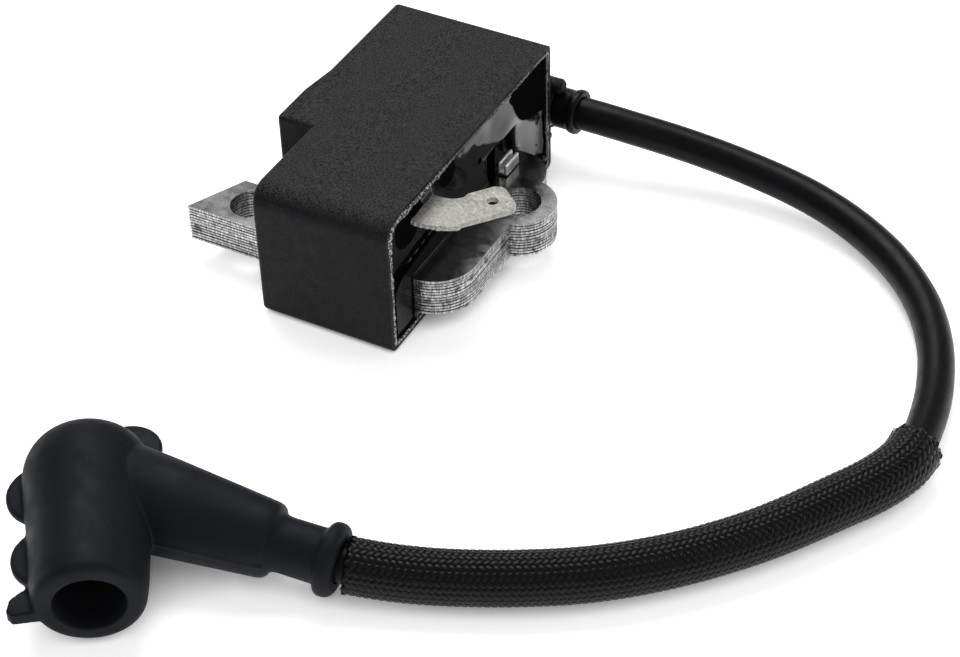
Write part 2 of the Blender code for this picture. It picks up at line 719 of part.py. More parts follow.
def main():
    black_plastic = material("black_plastic", (0.022, 0.023, 0.025), 0.55)
    resin = material("potting_resin", (0.006, 0.006, 0.007), 0.08)
    steel = material("electrical_steel", (0.42, 0.42, 0.43), 0.35, 1.0)
    bobbin_plastic = material("bobbin_plastic", (0.02, 0.02, 0.022), 0.35)
    copper = material("enamelled_copper", (0.45, 0.16, 0.06), 0.3, 1.0)
    fine_wire = material("fine_copper", (0.5, 0.2, 0.08), 0.4, 1.0)
    board = material("board_laminate", (0.03, 0.12, 0.05), 0.45)
    chip = material("chip_moulding", (0.02, 0.02, 0.02), 0.5)
    film = material("film_coating", (0.45, 0.12, 0.03), 0.35)
    tin = material("tin_plate", (0.66, 0.65, 0.6), 0.45, 1.0)
    jacket = material("lead_jacket", (0.008, 0.008, 0.009), 0.35)
    braid = material("nylon_braid", (0.012, 0.012, 0.013), 0.6)
    rubber = material("boot_rubber", (0.02, 0.021, 0.024), 0.6)
    make_housing(black_plastic)
    make_potting(resin)
    make_core(steel)
    make_coil(bobbin_plastic, copper, fine_wire)
    make_charge_coil(bobbin_plastic, copper)
    make_electronics(board, chip, film, tin)
    make_terminal(tin)
    make_clip(tin)
    make_lead(jacket, braid, rubber)
    boot = make_boot(rubber)
    spring = make_contact_spring(tin)
    turn_with(boot, spring)


main()
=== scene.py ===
"""Looks of the ignition coil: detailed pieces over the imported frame, materials, light and camera."""

import math
import random

import bmesh
import bpy
from mathutils import Matrix, Vector, noise


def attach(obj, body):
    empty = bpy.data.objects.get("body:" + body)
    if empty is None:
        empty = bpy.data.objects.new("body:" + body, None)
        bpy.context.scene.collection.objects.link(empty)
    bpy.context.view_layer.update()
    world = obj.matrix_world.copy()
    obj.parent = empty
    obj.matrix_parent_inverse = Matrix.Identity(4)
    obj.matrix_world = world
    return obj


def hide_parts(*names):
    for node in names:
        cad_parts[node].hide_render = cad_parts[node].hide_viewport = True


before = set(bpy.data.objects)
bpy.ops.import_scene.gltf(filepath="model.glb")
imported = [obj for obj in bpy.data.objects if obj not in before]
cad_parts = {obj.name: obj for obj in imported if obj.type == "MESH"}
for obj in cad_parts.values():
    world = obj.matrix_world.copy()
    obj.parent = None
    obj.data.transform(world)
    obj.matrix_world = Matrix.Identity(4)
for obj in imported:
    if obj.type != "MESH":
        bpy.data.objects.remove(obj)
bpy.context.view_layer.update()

MM = 0.001
# The middle of the module's base in the corner frame that the lengths below use, in millimetres.
BASE_MIDDLE = (-14.1, 29.77)
RNG = random.Random(11)

# Laminated core. A plate is a little thinner than its pitch, so that the joints between plates show.
LAMINATIONS = 12
PITCH, PLATE = 0.533, 0.41
CORE_BOTTOM = 2.84
CORE_TOP = CORE_BOTTOM + (LAMINATIONS - 1) * PITCH + PLATE
LEG_WIDTH = 9.4
FRONT_LEG_Y, REAR_LEG_Y = 7.0, 32.8
YOKE_INNER_X, YOKE_OUTER_X, LOBE_OUTER_X = -1.8, 6.75, 6.4
LOBE_RADIUS = 5.75
EAR, EAR_RADIUS = (5.4, 30.6), 5.76
LEFT_HOLE, SCREW_HOLE_RADIUS = (-31.1, 11.7), 3.35

# Moulded housing and its lead tower.
WALL, FLOOR = 1.35, 1.2
LENGTH, HEIGHT, WIDTH = 51.8, 23.4, 22.8
BUMP_X, BUMP_Y, REAR_X, REAR_Y = -29.0, 17.5, -28.1, 31.8
TOP_DRAFT, REAR_DRAFT = 0.022, 0.035
FRONT_ROUNDING, CORNER_ROUNDING = 3.2, 0.9
TOWER_Y, TOWER_Z = 55.9, 8.8
SLOT_GAP = 0.15

# Stop terminal, potting resin and clip.
TERMINAL_Z, TERMINAL_THICKNESS, TERMINAL_WIDTH = 19.0, 0.8, 6.3
TERMINAL_HOLE, TERMINAL_ANGLE = (8.1, 17.0), math.radians(50)
RESIN_BACK_X = -4.0
CLIP_FRONT_Y, CLIP_BACK_Y = 34.9, 39.1

# Lead, sleeve and boot.
LEAD_RADIUS = 2.7
LEAD_BORE_RADIUS = 3.0
ELBOW = Vector((-18.2, -49.8, 9.05))
MOUTH = Vector((-6.1, -67.1, 7.73))
ARM_END = Vector((17.4, -44.0, 4.95))
LEAD_ROUTE = [
    (-13.8, 55.9, 8.8), (-5, 55.9, 8.8), (4.0, 55.9, 8.8), (12, 56.9, 7.9), (22, 58.3, 6.4),
    (32, 58.6, 5.1), (42, 57.5, 4.1), (51, 54.5, 3.4), (59.5, 49.3, 3.0), (66.5, 42.2, 2.85),
    (71.5, 33.8, 2.85), (74.6, 25, 2.9), (76.2, 16.5, 3.4), (76.6, 8.5, 4.1),
    (74.6, 2.5, 4.1), (70.6, -4.2, 4.1), (64.3, -13.7, 4.1), (56.5, -22.6, 4.1),
    (47.8, -30.0, 4.1), (38.6, -35.6, 4.1), (29.2, -40.0, 4.1), (23.0, -42.35, 4.4),
]
SLEEVE_START_Y, SLEEVE_END_X = 11.5, 18.3
CARRIERS, LAY = 24, 23.0
STRAND_WIDTH, STRAND_RISE = 0.74, 0.13
BRAID_RADIUS = 3.47


def place(x, y, z):
    return Vector(((x - BASE_MIDDLE[0]) * MM, (y - BASE_MIDDLE[1]) * MM, z * MM))


# ---------------------------------------------------------------- camera


def make_camera():
    """A long lens above the front right."""
    azimuth, elevation, roll = math.radians(29.12), math.radians(40.72), math.radians(-1.80)
    back = Vector((
        math.sin(azimuth) * math.cos(elevation),
        -math.cos(azimuth) * math.cos(elevation),
        math.sin(elevation),
    ))
    right = Vector((math.cos(azimuth), math.sin(azimuth), 0))
    up = back.cross(right)
    turned_right = math.cos(roll) * right + math.sin(roll) * up
    turned_up = math.cos(roll) * up - math.sin(roll) * right
    data = bpy.data.cameras.new("camera")
    data.lens, data.sensor_width = 87.75, 36
    data.clip_start, data.clip_end = 0.01, 10
    camera = bpy.data.objects.new("camera", data)
    bpy.context.scene.collection.objects.link(camera)
    rotation = Matrix((turned_right, turned_up, back)).transposed()
    camera.matrix_world = Matrix.Translation(place(137.8, -220.8, 228.1)) @ rotation.to_4x4()
    bpy.context.scene.camera = camera


# ---------------------------------------------------------------- mesh helpers


def new_object(name, data):
    obj = bpy.data.objects.new(name, data)
    bpy.context.scene.collection.objects.link(obj)
    return obj


def mesh_from(name, points, faces):
    mesh = bpy.data.meshes.new(name)
    mesh.from_pydata([place(*p) for p in points], [], faces)
    mesh.update()
    return new_object(name, mesh)


def baked(obj, *helpers):
    """The object with its modifiers applied; the helpers are removed."""
    bpy.context.view_layer.update()
    graph = bpy.context.evaluated_depsgraph_get()
    mesh = bpy.data.meshes.new_from_object(obj.evaluated_get(graph), depsgraph=graph)
    mesh.transform(obj.matrix_world)
    name = obj.name
    for old in (obj, *helpers):
        bpy.data.objects.remove(old, do_unlink=True)
    mesh.name = name
    return new_object(name, mesh)


def boolean(obj, operation, *others):
    for other in others:
        modifier = obj.modifiers.new(operation, "BOOLEAN")
        modifier.operation, modifier.solver, modifier.object = operation, "EXACT", other
    return baked(obj, *others)


def shade(obj, degrees=35):
    obj.data.shade_smooth()
    obj.data.set_sharp_from_angle(angle=math.radians(degrees))
    return obj


def recalc(obj):
    bm = bmesh.new()
    bm.from_mesh(obj.data)
    bmesh.ops.remove_doubles(bm, verts=bm.verts, dist=1e-7)
    bmesh.ops.recalc_face_normals(bm, faces=bm.faces)
    bm.to_mesh(obj.data)
    bm.free()
    return obj


def bevel_edges(obj, width, segments=3, least_degrees=40):
    bm = bmesh.new()
    bm.from_mesh(obj.data)
    bmesh.ops.remove_doubles(bm, verts=bm.verts, dist=1e-7)
    bmesh.ops.recalc_face_normals(bm, faces=bm.faces)
    bmesh.ops.dissolve_limit(
        bm, angle_limit=math.radians(0.5), verts=bm.verts, edges=bm.edges)
    sharp = [
        e for e in bm.edges
        if len(e.link_faces) == 2 and e.calc_face_angle() > math.radians(least_degrees)
    ]
    bmesh.ops.bevel(bm, geom=sharp, offset=width * MM, offset_type="OFFSET",
                    segments=segments, profile=0.5, affect="EDGES", clamp_overlap=True)
    bm.to_mesh(obj.data)
    bm.free()
    return obj


def slab(name, bottom, top):
    """A closed solid between two outlines with the same number of points."""
    n = len(bottom)
    faces = [tuple(range(n))[::-1], tuple(range(n, 2 * n))]
    faces += [(i, (i + 1) % n, n + (i + 1) % n, n + i) for i in range(n)]
    return recalc(mesh_from(name, bottom + top, faces))


def prism(name, outline, low, high):
    """A prism along Z of an outline in X and Y."""
    return slab(name, [(x, y, low) for x, y in outline], [(x, y, high) for x, y in outline])


def prism_along_x(name, outline, low, high):
    """A prism along X of an outline in Y and Z."""
    return slab(name, [(low, y, z) for y, z in outline], [(high, y, z) for y, z in outline])


def box(name, low, high):
    outline = [(low[0], low[1]), (high[0], low[1]), (high[0], high[1]), (low[0], high[1])]
    return prism(name, outline, low[2], high[2])


def corner(x, y, radius, start_degrees, end_degrees, steps=6):
    turn = math.radians(end_degrees - start_degrees) / steps
    first = math.radians(start_degrees)
    return [
        (x + radius * math.cos(first + turn * i), y + radius * math.sin(first + turn * i))
        for i in range(steps + 1)
    ]


def circle(centre, radius, steps=56):
    return corner(*centre, radius, 0, 360 - 360 / steps, steps - 1)


def frame_about(direction):
    """Two unit vectors at right angles to a direction."""
    direction = direction.normalized()
    side = direction.cross(Vector((0, 0, 1)))
    if side.length < 1e-3:
        side = Vector((1, 0, 0))
    side.normalize()
    return side, direction.cross(side)


def lathe(name, profile, base, direction, steps=72, closed=False):
    """A solid of revolution: profile is (radius, height) along direction from base."""
    base, direction = Vector(base), Vector(direction).normalized()
    side, up = frame_about(direction)
    points, rings = [], []
    for radius, height in profile:
        centre = base + direction * height
        if radius < 1e-6:
            rings.append([len(points)] * steps)
            points.append(centre)
            continue
        rings.append(list(range(len(points), len(points) + steps)))
        for i in range(steps):
            a = 2 * math.pi * i / steps
            points.append(centre + (side * math.cos(a) + up * math.sin(a)) * radius)
    faces = []
    pairs = list(zip(rings, rings[1:])) + ([(rings[-1], rings[0])] if closed else [])
    for low, high in pairs:
        for i in range(steps):
            j = (i + 1) % steps
            face = [low[i], low[j], high[j], high[i]]
            kept = [v for k, v in enumerate(face) if v not in face[:k]]
            if len(kept) > 2:
                faces.append(tuple(kept))
    return recalc(mesh_from(name, points, faces))


def rod(name, start, end, radius, steps=48):
    length = (Vector(end) - Vector(start)).length
    profile = [(0, 0), (radius, 0), (radius, length), (0, length)]
    return lathe(name, profile, start, Vector(end) - Vector(start), steps)


def smooth_route(points, spacing):
    """Points about spacing apart on a Catmull-Rom curve through the given points."""
    points = [Vector(p) for p in points]
    ends = [2 * points[0] - points[1], *points, 2 * points[-1] - points[-2]]
    fine = []
    for a, b, c, d in zip(ends, ends[1:], ends[2:], ends[3:]):
        for step in range(40):
            t = step / 40
            fine.append(
                0.5 * (2 * b + (c - a) * t + (2 * a - 5 * b + 4 * c - d) * t**2
                       + (3 * b - a - 3 * c + d) * t**3)
            )
    fine.append(points[-1])
    length = sum((q - p).length for p, q in zip(fine, fine[1:]))
    count = max(2, round(length / spacing))
    kept, walked, target = [fine[0]], 0.0, length / count
    for p, q in zip(fine, fine[1:]):
        step = (q - p).length
        while walked + step >= target - 1e-6 and len(kept) < count:
            kept.append(p.lerp(q, (target - walked) / step))
            target += length / count
        walked += step
    return kept + [fine[-1]]


def plate(name, z, thickness, outlines, shift=(0, 0)):
    """A flat plate about height z: the first outline in X and Y, with the others as holes."""
    data = bpy.data.curves.new(name, "CURVE")
    data.dimensions, data.fill_mode = "2D", "BOTH"
    data.extrude = thickness * MM / 2
    for outline in outlines:
        spline = data.splines.new("POLY")
        spline.points.add(len(outline) - 1)
        for point, (x, y) in zip(spline.points, outline):
            point.co = ((x + shift[0]) * MM, (y + shift[1]) * MM, 0, 1)
        spline.use_cyclic_u = True
    curve = new_object(name, data)
    curve.location = place(0, 0, z)
    return recalc(baked(curve))


def tube(name, points, radius):
    data = bpy.data.curves.new(name, "CURVE")
    data.dimensions = "3D"
    data.bevel_depth = radius * MM
    data.bevel_resolution = 6
    data.use_fill_caps = True
    spline = data.splines.new("POLY")
    spline.points.add(len(points) - 1)
    for point, co in zip(spline.points, points):
        point.co = (*place(*co), 1)
    spline.use_smooth = True
    return new_object(name, data)


def wobble(point, size, seed=0.0):
    """Smooth noise from -1 to 1 at a point in millimetres, with bumps about size across."""
    return noise.noise(Vector(point) / size + Vector((seed, seed * 1.7, -seed)))


# ---------------------------------------------------------------- materials


class Look:
    """A procedural material: nodes are added by short calls, and all use object coordinates."""

    def __init__(self, name, colour, roughness, metallic=0.0, **sockets):
        self.material = bpy.data.materials.new(name)
        self.material.use_nodes = True
        self.nodes = self.material.node_tree.nodes
        self.links = self.material.node_tree.links
        self.shader = self.nodes["Principled BSDF"]
        self.shader.inputs["Base Color"].default_value = (*colour, 1)
        self.shader.inputs["Roughness"].default_value = roughness
        self.shader.inputs["Metallic"].default_value = metallic
        for key, value in sockets.items():
            self.shader.inputs[key.replace("_", " ")].default_value = value
        self.material.diffuse_color = (*colour, 1)
        self.coordinates = self.nodes.new("ShaderNodeTexCoord")
        self.normal = None

    def noise(self, per_mm, detail=2.0, stretch=(1, 1, 1), rough=0.5):
        """Noise with about per_mm bumps to the millimetre."""
        mapping = self.nodes.new("ShaderNodeMapping")
        mapping.inputs["Scale"].default_value = [1000 * per_mm * s for s in stretch]
        self.links.new(self.coordinates.outputs["Object"], mapping.inputs["Vector"])
        texture = self.nodes.new("ShaderNodeTexNoise")
        texture.inputs["Scale"].default_value = 1.0
        texture.inputs["Detail"].default_value = detail
        texture.inputs["Roughness"].default_value = rough
        self.links.new(mapping.outputs["Vector"], texture.inputs["Vector"])
        return texture.outputs["Fac"]

    def ramp(self, value, *stops):
        node = self.nodes.new("ShaderNodeValToRGB")
        elements = node.color_ramp.elements
        while len(elements) < len(stops):
            elements.new(0.5)
        for element, (position, colour) in zip(elements, stops):
            element.position = position
            if isinstance(colour, (int, float)):
                colour = (colour, colour, colour)
            element.color = (*colour, 1)
        self.links.new(value, node.inputs["Fac"])
        return node.outputs["Color"]

    def mix(self, factor, first, second, kind="MIX"):
        node = self.nodes.new("ShaderNodeMix")
        node.data_type, node.blend_type = "RGBA", kind
        for socket, value in ((0, factor), (6, first), (7, second)):
            if isinstance(value, (int, float)) and socket == 0:
                node.inputs[0].default_value = value
            elif isinstance(value, tuple):
                node.inputs[socket].default_value = (*value, 1)
            else:
                self.links.new(value, node.inputs[socket])
        return node.outputs[2]

    def across(self, axis, low_mm, high_mm):
        """0 to 1 between two places along one axis, measured from the housing's corner."""
        split = self.nodes.new("ShaderNodeSeparateXYZ")
        self.links.new(self.coordinates.outputs["Object"], split.inputs[0])
        spread = self.nodes.new("ShaderNodeMapRange")
        shift = place(0, 0, 0)["XYZ".index(axis)]
        spread.inputs["From Min"].default_value = low_mm * MM + shift
        spread.inputs["From Max"].default_value = high_mm * MM + shift
        self.links.new(split.outputs[axis], spread.inputs["Value"])
        return spread.outputs["Result"]

    def near(self, point, inner_mm, outer_mm):
        """1 within inner_mm of a point, measured from the housing's corner, and 0 beyond outer_mm."""
        away = self.nodes.new("ShaderNodeVectorMath")
        away.operation = "DISTANCE"
        self.links.new(self.coordinates.outputs["Object"], away.inputs[0])
        away.inputs[1].default_value = place(*point)
        spread = self.nodes.new("ShaderNodeMapRange")
        spread.inputs["From Min"].default_value = outer_mm * MM
        spread.inputs["From Max"].default_value = inner_mm * MM
        self.links.new(away.outputs["Value"], spread.inputs["Value"])
        return spread.outputs["Result"]

    def upward(self):
        """1 on surfaces that face up, 0 on upright ones."""
        geometry = self.nodes.new("ShaderNodeNewGeometry")
        split = self.nodes.new("ShaderNodeSeparateXYZ")
        self.links.new(geometry.outputs["Normal"], split.inputs[0])
        return self.ramp(split.outputs["Z"], (0.5, 0), (0.9, 1))

    def set(self, socket, value):
        self.links.new(value, self.shader.inputs[socket])
        return self

    def rough(self, value, low, high):
        return self.set("Roughness", self.ramp(value, (0.3, low), (0.7, high)))

    def bump(self, value, depth_mm):
        node = self.nodes.new("ShaderNodeBump")
        node.inputs["Strength"].default_value = 1.0
        node.inputs["Distance"].default_value = depth_mm * MM
        self.links.new(value, node.inputs["Height"])
        if self.normal is not None:
            self.links.new(self.normal, node.inputs["Normal"])
        self.normal = node.outputs["Normal"]
        self.links.new(self.normal, self.shader.inputs["Normal"])
        return self

    def wear(self, colour, none_at, full_at):
        """Lighter colour along worn edges, between two values of pointiness and broken up by noise."""
        geometry = self.nodes.new("ShaderNodeNewGeometry")
        edge = self.ramp(geometry.outputs["Pointiness"], (none_at, 0), (full_at, 1))
        patch = self.ramp(self.noise(1.5, 4), (0.42, 0), (0.62, 1))
        mask = self.mix(1.0, edge, patch, "MULTIPLY")
        base = self.shader.inputs["Base Color"]
        before = base.links[0].from_socket if base.links else tuple(base.default_value)[:3]
        return self.set("Base Color", self.mix(mask, before, colour))


def plastic_look():
    """Fine grained moulding, with painted light: the grain greyer on top, where the light falls, and
    darker on the upright sides.
    """
    look = Look("housing_plastic", (0.016, 0.016, 0.0165), 0.5, Specular_IOR_Level=0.12,
                Specular_Tint=(0.88, 0.92, 1.0, 1))
    grain = look.noise(3.4, 3, rough=0.7)
    broad = look.ramp(
        look.noise(0.09, 3), (0.3, (0.0032, 0.0033, 0.0038)), (0.7, (0.0056, 0.0058, 0.0064)))
    mottle = look.ramp(grain, (0.40, 0), (0.60, 1))
    # Painted light: a lit copy of the colour for faces that look up, and a shaded copy for upright ones.
    top = look.mix(mottle, broad, (0.049, 0.0490, 0.0495))
    side = look.mix(mottle, broad, (0.0068, 0.0070, 0.0078))
    look.set("Base Color", look.mix(look.upward(), side, top))
    look.rough(look.noise(0.5, 4), 0.44, 0.58)
    look.bump(grain, 0.2).bump(look.noise(0.8, 3), 0.02)
    return look.wear((0.035, 0.036, 0.037), 0.56, 0.66).material


def resin_look():
    """Glossy resin, with painted shade: in some patches and over the bobbin's flange its reflection is
    turned off, so they stay dark.
    """
    look = Look("potting_resin", (0.0035, 0.0035, 0.0039), 0.05)
    look.rough(look.noise(0.25, 3), 0.03, 0.12)
    # Painted shade: where this mask is 1 the resin reflects nothing and stays black.
    painted_shade = look.near((-0.8, 50, 22), 10.3, 10.6)
    shade_spots = (
        ((-0.8, 20.1, 19.3), 2.2), ((-0.8, 30.0, 15.0), 0.6),
        ((-0.8, 8.0, 18.4), 3.9), ((-2.0, 35.2, 11.5), 3.0),
    )
    for point, radius in shade_spots:
        painted_shade = look.mix(1.0, painted_shade, look.near(point, radius, radius + 0.25), "LIGHTEN")
    flange = look.mix(1.0, look.across("Y", 8.0, 7.0), look.across("Z", 12.2, 11.6), "MULTIPLY")
    painted_shade = look.mix(1.0, painted_shade, flange, "LIGHTEN")
    look.set("Specular IOR Level", look.ramp(painted_shade, (0.0, 0.44), (1.0, 0.0)))
    look.bump(look.noise(0.12, 2), 0.10).bump(look.noise(1.1, 2), 0.004)
    return look.material


def bead_look():
    """Flash on the rim: black, with painted glints: bright flecks that crowd towards the front."""
    look = Look("resin_flash", (0.006, 0.006, 0.0065), 0.12, Specular_IOR_Level=0.6)
    # Painted glints: light flecks in the base colour, more of them towards the front.
    glint_noise = look.noise(2.4, 3)
    many_glints, few_glints = look.ramp(glint_noise, (0.50, 0), (0.57, 1)), look.ramp(glint_noise, (0.62, 0), (0.68, 0.7))
    mask = look.mix(look.across("Y", 22, 10), few_glints, many_glints)
    look.set("Base Color", look.mix(mask, (0.006, 0.006, 0.0065), (0.42, 0.42, 0.41)))
    look.rough(look.noise(1.6, 3), 0.06, 0.3)
    look.bump(look.noise(1.8, 3), 0.14)
    return look.material


def steel_look():
    """The flat faces of a lamination: rolled steel, nearly a mirror."""
    look = Look("lamination_face", (0.20, 0.20, 0.203), 0.2, 1.0)
    lines = look.noise(1.6, 2, stretch=(0.05, 1, 1))
    cloud = look.noise(0.16, 3)
    light = look.ramp(lines, (0.3, 0.24), (0.7, 0.30))
    look.set("Base Color", look.mix(
        look.ramp(cloud, (0.35, 0), (0.7, 0.45)), light, (0.19, 0.19, 0.193)))
    look.rough(look.noise(0.5, 3), 0.13, 0.24)
    look.bump(lines, 0.0008)
    return look.material


def steel_edge_look():
    """The sheared edge of a lamination: fine upright shear marks, each plate its own tone."""
    look = Look("lamination_edge", (0.5, 0.5, 0.5), 0.3, 1.0)
    marks = look.noise(2.6, 1, stretch=(1.4, 1.4, 0.3))
    stain = look.ramp(look.noise(0.5, 4), (0.33, 1), (0.40, 0))
    light = look.ramp(marks, (0.3, 0.28), (0.5, 0.45), (0.68, 0.78))
    plates = look.ramp(look.noise(0.8, 1, stretch=(0.03, 0.03, 1)), (0.35, 0.55), (0.65, 1.0))
    shaded = look.mix(1.0, light, plates, "MULTIPLY")
    look.set("Base Color", look.mix(stain, shaded, (0.12, 0.115, 0.11)))
    look.rough(look.noise(1.6, 2), 0.2, 0.4)
    look.bump(marks, 0.018)
    return look.material


def tin_look():
    """Dull sprayed-looking plating: mostly diffuse, with light and dark specks."""
    look = Look("tin_plate", (0.40, 0.395, 0.37), 0.6, 0.35, Specular_IOR_Level=0.3)
    mottle = look.noise(1.4, 5, rough=0.75)
    pits = look.ramp(look.noise(3.2, 2), (0.30, 1), (0.40, 0))
    colour = look.ramp(mottle, (0.32, (0.28, 0.275, 0.255)), (0.5, (0.42, 0.415, 0.388)),
                       (0.66, (0.68, 0.675, 0.64)))
    look.set("Base Color", look.mix(pits, colour, (0.16, 0.155, 0.145)))
    look.rough(look.noise(1.4, 4), 0.52, 0.74)
    look.bump(mottle, 0.035).bump(look.noise(3.6, 2), 0.02)
    return look.material


def clip_look():
    """Bright plating, for the clip and the contacts."""
    look = Look("clip_plate", (0.92, 0.91, 0.89), 0.26, 0.85)
    look.set("Base Color", look.ramp(
        look.noise(0.9, 3), (0.3, (0.80, 0.79, 0.77)), (0.7, (0.95, 0.94, 0.92))))
    look.rough(look.noise(0.8, 3), 0.24, 0.4)
    return look.bump(look.noise(0.7, 2), 0.02).material


def jacket_look():
    """The lead's smooth jacket, slightly glossy."""
    look = Look("lead_jacket", (0.003, 0.003, 0.004), 0.36, Specular_IOR_Level=0.12)
    look.set("Base Color", look.ramp(
        look.noise(0.12, 3), (0.35, (0.0024, 0.0025, 0.0034)), (0.7, (0.0036, 0.0037, 0.0049))))
    look.rough(look.noise(0.4, 4), 0.31, 0.45)
    look.bump(look.noise(0.35, 2), 0.03).bump(look.noise(5, 2), 0.006)
    return look.material


def braid_look():
    """Black nylon thread with a few paler strands."""
    look = Look("nylon_braid", (0.0025, 0.0025, 0.0027), 0.3, Specular_IOR_Level=0.16)
    thread = look.noise(2.2, 3)
    look.set("Base Color", look.ramp(
        thread, (0.3, (0.0016, 0.0016, 0.0018)), (0.62, (0.0030, 0.0030, 0.0034)),
        (0.8, (0.011, 0.011, 0.012))))
    look.rough(look.noise(1.2, 2), 0.24, 0.42)
    look.bump(look.noise(7, 2), 0.02)
    return look.material


def rubber_look():
    """Matt bluish-black rubber."""
    look = Look("boot_rubber", (0.0052, 0.0056, 0.0070), 0.55, Specular_IOR_Level=0.11,
                Specular_Tint=(0.82, 0.88, 1.0, 1))
    look.set("Base Color", look.ramp(
        look.noise(0.07, 4), (0.3, (0.0074, 0.0079, 0.0100)), (0.72, (0.0094, 0.0101, 0.0126))))
    look.rough(look.noise(0.25, 4), 0.46, 0.66)
    look.bump(look.noise(0.3, 3), 0.03).bump(look.noise(5.5, 2), 0.009)
    return look.wear((0.020, 0.021, 0.024), 0.57, 0.68).material


def plain_look(name, colour, roughness, shine=0.5):
    """A look for what lies inside: its own colour with mottling, gloss variation and grain."""
    look = Look(name, colour, roughness, Specular_IOR_Level=shine)
    darker = tuple(c * 0.7 for c in colour)
    look.set("Base Color", look.ramp(look.noise(1.2, 3), (0.3, darker), (0.7, colour)))
    look.rough(look.noise(0.72, 3), roughness - 0.1, roughness + 0.12)
    return look.bump(look.noise(3.6, 2), 0.02).material


def winding_look(name, colour):
    """Enamelled wire: fine rounds side by side along the coil."""
    look = Look(name, colour, 0.3, 1.0)
    wires = look.noise(6.0, 0, stretch=(1, 0.04, 0.04))
    look.set("Base Color", look.ramp(wires, (0.3, tuple(c * 0.45 for c in colour)), (0.6, colour)))
    look.rough(look.noise(0.8, 3), 0.24, 0.42)
    return look.bump(wires, 0.08).material


def dress(obj, *looks):
    obj.data.materials.clear()
    for look in looks:
        obj.data.materials.append(look)
    return obj


def put(obj, body, slot, *nodes):
    """The piece rides on a body and stands for CAD nodes, which it hides; slot is not used."""
    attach(obj, body)
    if nodes:
        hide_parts(*nodes)
    return obj


# ---------------------------------------------------------------- lead, sleeve and boot


def on_arm(distance):
    return ELBOW + (ARM_END - ELBOW).normalized() * distance


ALONG = (MOUTH - ELBOW).normalized()
LEFT = -Vector((0, 0, 1)).cross(ALONG).normalized()
BODY_UP = ALONG.cross(LEFT) * -1


def on_body(distance, sideways=0.0, up=0.0):
    """A point of the boot's body: along its axis, to its left and above it."""
    return ELBOW + ALONG * distance + LEFT * sideways + BODY_UP * up


def lead_points(spacing):
    arm = (ARM_END - ELBOW).length
    inside = [on_arm(d) for d in (arm + 1.6, arm - 8, 18, 7.5)]
    return smooth_route([*LEAD_ROUTE, *inside], spacing)


def make_lead(jacket):
    lead = dress(tube("ht_lead_jacket", lead_points(2.4), LEAD_RADIUS), jacket)
    return put(lead, "module", "lead_jacket", "ht_lead")


def axes_along(line):
    """At each point of a line, its direction and two more unit vectors, with as little twist as can be."""
    last = len(line) - 1
    side = (line[1] - line[0]).cross(Vector((0, 0, 1)))
    axes = []
    for i in range(len(line)):
        tangent = (line[min(i + 1, last)] - line[max(i - 1, 0)]).normalized()
        side = (side - tangent * side.dot(tangent)).normalized()
        axes.append((tangent, side, tangent.cross(side)))
    return axes


def grid_faces(base, rows, rings):
    """The faces of a tube without ends, with rings points in each of its rows."""
    faces = []
    for row in range(rows - 1):
        a, b = base + row * rings, base + (row + 1) * rings
        faces += [(a + k, a + (k + 1) % rings, b + (k + 1) % rings, b + k) for k in range(rings)]
    return faces


def make_sleeve(look):
    """A two-over-two braid of flat strands, wound both ways about the covered stretch."""
    covered = [p for p in lead_points(0.5) if p.y < SLEEVE_START_Y and p.x > SLEEVE_END_X]
    step = 0.21
    line = smooth_route(covered[::8] + covered[-1:], step)
    axes = axes_along(line)
    total = step * (len(line) - 1)

    def radius_at(distance):
        """The braid's radius: a little wider towards both ends, with slow waves."""
        start, end = math.exp(-(distance / 14) ** 2), math.exp(-((total - distance) / 16) ** 2)
        return BRAID_RADIUS + 0.20 * start + 0.20 * end + 0.05 * math.sin(distance / 7.3)

    points, faces = [], []
    for direction in (1, -1):
        for strand in range(CARRIERS):
            first = RNG.randrange(0, 4)
            last = len(line) - RNG.randrange(0, 2)
            for i in range(first, last):
                tangent, side, up = axes[i]
                distance = i * step
                angle = 2 * math.pi * (direction * distance / LAY + strand / CARRIERS)
                out = side * math.cos(angle) + up * math.sin(angle)
                across = side * -math.sin(angle) + up * math.cos(angle)
                # It passes over two strands of the other way, then under two.
                phase = 2 * strand + direction * 2 * CARRIERS * distance / LAY
                over = direction * math.cos(math.pi / 2 * (phase - 0.5)) * 1.25
                radius = radius_at(distance) + 0.13 * max(-1.0, min(1.0, over))
                # Its last few steps flare out.
                radius += 0.035 * max(0, 4 - min(i - first, last - 1 - i))
                slope = 2 * math.pi * radius / LAY
                strand_way = (tangent + across * (direction * slope)).normalized()
                width = strand_way.cross(out).normalized() * (STRAND_WIDTH / 2)
                centre = line[i] + out * radius
                for across_at, rise in ((-1, 0), (-0.45, 0.8), (0.45, 0.8), (1, 0)):
                    points.append(centre + width * across_at + out * (rise * STRAND_RISE))
                if i > first:
                    a = len(points) - 8
                    faces += [(a + k, a + k + 1, a + k + 5, a + k + 4) for k in range(3)]
    # A dark double lining closes the gaps between the strands.
    rings, rows = 20, range(2, len(line) - 2, 6)
    for inset in (0.19, 0.42):
        base = len(points)
        for i in rows:
            _, side, up = axes[i]
            for k in range(rings):
                a = 2 * math.pi * k / rings
                out = side * math.cos(a) + up * math.sin(a)
                points.append(line[i] + out * (radius_at(i * step) - inset))
        faces += grid_faces(base, len(rows), rings)
    sleeve = mesh_from("woven_sleeve", points, faces)
    sleeve.data.shade_smooth()
    return put(dress(sleeve, look), "module", "nylon_braid", "braided_sleeve")


def joined(name, *objects):
    bm = bmesh.new()
    for obj in objects:
        bm.from_mesh(obj.data)
        bpy.data.objects.remove(obj, do_unlink=True)
    mesh = bpy.data.meshes.new(name)
    bm.to_mesh(mesh)
    bm.free()
    return new_object(name, mesh)


